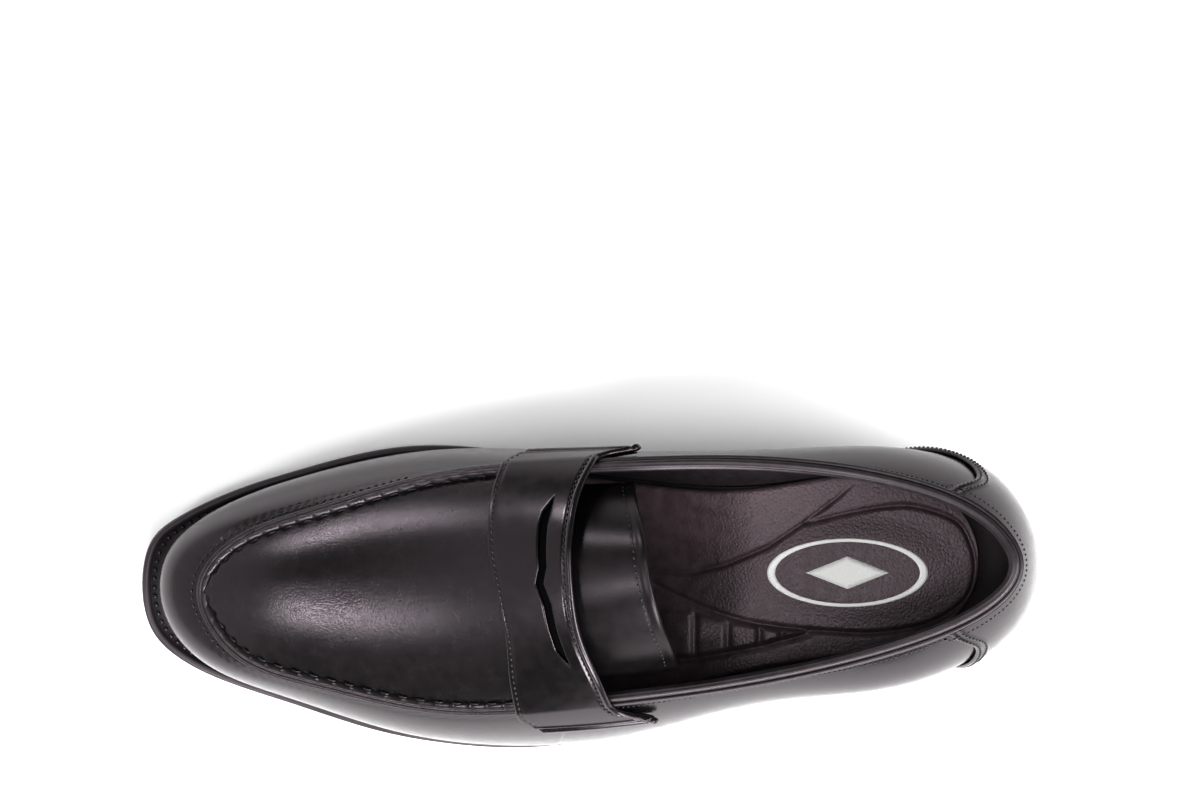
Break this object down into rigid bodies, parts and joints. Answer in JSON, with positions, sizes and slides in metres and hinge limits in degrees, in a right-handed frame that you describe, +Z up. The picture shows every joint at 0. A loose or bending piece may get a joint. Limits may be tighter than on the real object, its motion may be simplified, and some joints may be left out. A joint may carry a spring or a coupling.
{
  "type": "penny loafer",
  "caption": "Black leather slip-on shoe for the left foot with a raised apron seam, a slotted saddle strap, a short tongue, a welted rubber sole and a low heel.",
  "frame": {"origin": "on the ground, in the middle of the shoe's length and width", "axes": "+Z up, toe towards -Y, heel towards +Y, inner side of the foot towards -X, outer side towards +X"},
  "size_m": [0.1047, 0.3002, 0.0952],
  "materials": {
    "sole_rubber": "matte moulded rubber",
    "welt_rubber": "satin moulded rubber",
    "welt_thread": "waxed thread",
    "heel_rubber": "satin moulded rubber",
    "nail_steel": "plain",
    "shank_steel": "plain",
    "cork": "raw",
    "fibreboard": "raw",
    "footbed_leather": "matte fine grain",
    "badge_print": "flat print",
    "polished_leather": "polished, high gloss",
    "grained_leather": "fine pebble grain, soft sheen",
    "black_thread": "waxed thread",
    "binding_leather": "rolled edge, satin",
    "foam": "open cell",
    "lining_leather": "matte fine grain",
    "strap_leather": "smooth, high gloss",
    "tongue_leather": "smooth, satin"
  },
  "bodies": {
    "shoe": {"outsole": "sole_rubber", "welt": "welt_rubber", "welt_stitches": "welt_thread", "heel_block": "heel_rubber", "heel_top_lift": "heel_rubber", "heel_nails": "nail_steel", "shank": "shank_steel", "cork_filler": "cork", "insole_board": "fibreboard", "footbed": "footbed_leather", "footbed_badge": "badge_print", "vamp": "polished_leather", "apron": "grained_leather", "apron_piping": "polished_leather", "apron_stitches": "black_thread", "lateral_quarter": "polished_leather", "medial_quarter": "polished_leather", "counter_patch": "polished_leather", "counter_stitches": "black_thread", "topline_binding": "binding_leather", "topline_stitches": "black_thread", "collar_foam": "foam", "toe_puff": "fibreboard", "heel_stiffener": "fibreboard", "vamp_lining": "lining_leather", "apron_lining": "lining_leather", "quarter_lining": "lining_leather", "strap": "strap_leather", "strap_lining": "lining_leather", "strap_stitches": "black_thread", "tongue_base": "tongue_leather"},
    "tongue": {"tongue": "tongue_leather", "tongue_lining": "lining_leather", "tongue_stitches": "black_thread"}
  },
  "joints": [
    {"name": "tongue_lift", "type": "hinge", "parent": "shoe", "child": "tongue", "pos_m": [-0.0105, -0.005, 0.088], "axis": [1, 0, 0], "range_deg": [0, 18], "stiffness_Nm_per_rad": 0.03}
  ]
}
